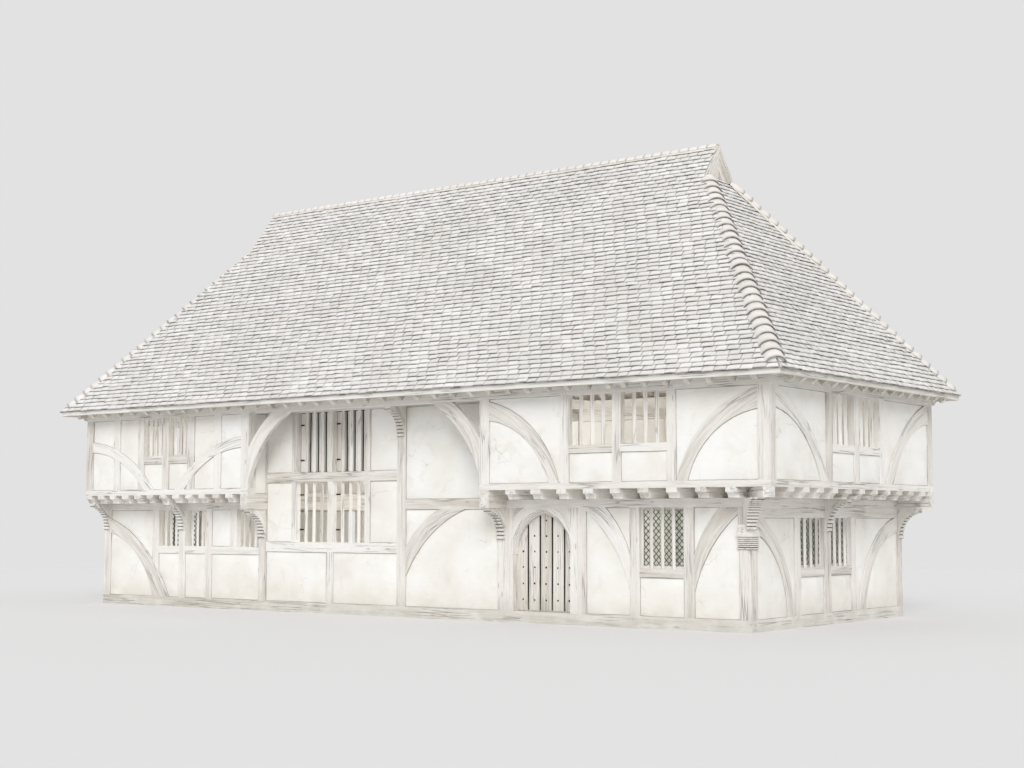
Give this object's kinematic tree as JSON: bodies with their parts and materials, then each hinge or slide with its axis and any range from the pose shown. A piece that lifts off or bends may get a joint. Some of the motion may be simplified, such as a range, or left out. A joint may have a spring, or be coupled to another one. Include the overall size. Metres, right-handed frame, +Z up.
{
  "type": "half timbered house",
  "caption": "Timber framed hall house with jettied end blocks, curved braces, mullioned windows, a plank door and a hipped tiled roof.",
  "frame": {"origin": "on the ground under the middle of the roof, the centre of the house's plan", "axes": "+X along the front from left to right, +Y from front to back, +Z up"},
  "size_m": [20.615, 8.56, 10.312],
  "materials": {
    "oak_frame": "silver weathered oak, matt",
    "rafter_oak": "riven oak, matt",
    "oak_boards": "sawn oak boards, matt",
    "eaves_boards": "weathered oak boards, matt",
    "door_oak": "weathered oak planks, matt",
    "lime_plaster": "limewashed plaster on daub, matt",
    "roof_tile": "weathered clay tiles, matt",
    "leaded_glass": "old crown glass",
    "stone_floor": "worn stone, matt",
    "wrought_iron": "black iron, satin"
  },
  "bodies": {
    "frame": {"arch_braces": "oak_frame", "back_rafters": "rafter_oak", "back_slope": "roof_tile", "bargeboards": "eaves_boards", "door_head": "oak_frame", "door_jambs": "oak_frame", "dragon_beam": "oak_frame", "dragon_bracket": "oak_frame", "dragon_post": "oak_frame", "end_bressumers": "oak_frame", "end_fascias": "eaves_boards", "end_lower_plates": "oak_frame", "end_rafters": "rafter_oak", "end_sills": "oak_frame", "end_slopes": "roof_tile", "end_wall_plates": "oak_frame", "floor_beams": "oak_frame", "front_rafters": "rafter_oak", "front_slope": "roof_tile", "gablet_walls": "oak_boards", "ground_floor": "stone_floor", "hall_panels": "lime_plaster", "hall_plates": "oak_frame", "hall_posts": "oak_frame", "hall_soffit": "oak_boards", "hall_studs": "oak_frame", "hinge_pins": "wrought_iron", "hip_rafters": "rafter_oak", "hip_slopes": "roof_tile", "jetty_brackets": "oak_frame", "jetty_joists": "oak_frame", "long_bressumers": "oak_frame", "long_fascias": "eaves_boards", "long_lower_plates": "oak_frame", "long_sills": "oak_frame", "long_wall_plates": "oak_frame", "lower_panels": "lime_plaster", "lower_posts": "oak_frame", "lower_studs": "oak_frame", "tie_beams": "oak_frame", "truss_beams": "oak_frame", "upper_floors": "oak_boards", "upper_panels": "lime_plaster", "upper_posts": "oak_frame", "upper_studs": "oak_frame", "wall_braces": "oak_frame", "window_glass": "leaded_glass", "window_rails": "oak_frame"},
    "door": {"door_leaf": "door_oak", "door_hinges": "wrought_iron"}
  },
  "joints": [
    {"name": "door_hinge", "type": "hinge", "parent": "frame", "child": "door", "pos_m": [4.9575, -2.953, 0.735], "axis": [0, 0, -1], "range_deg": [0, 95]}
  ]
}
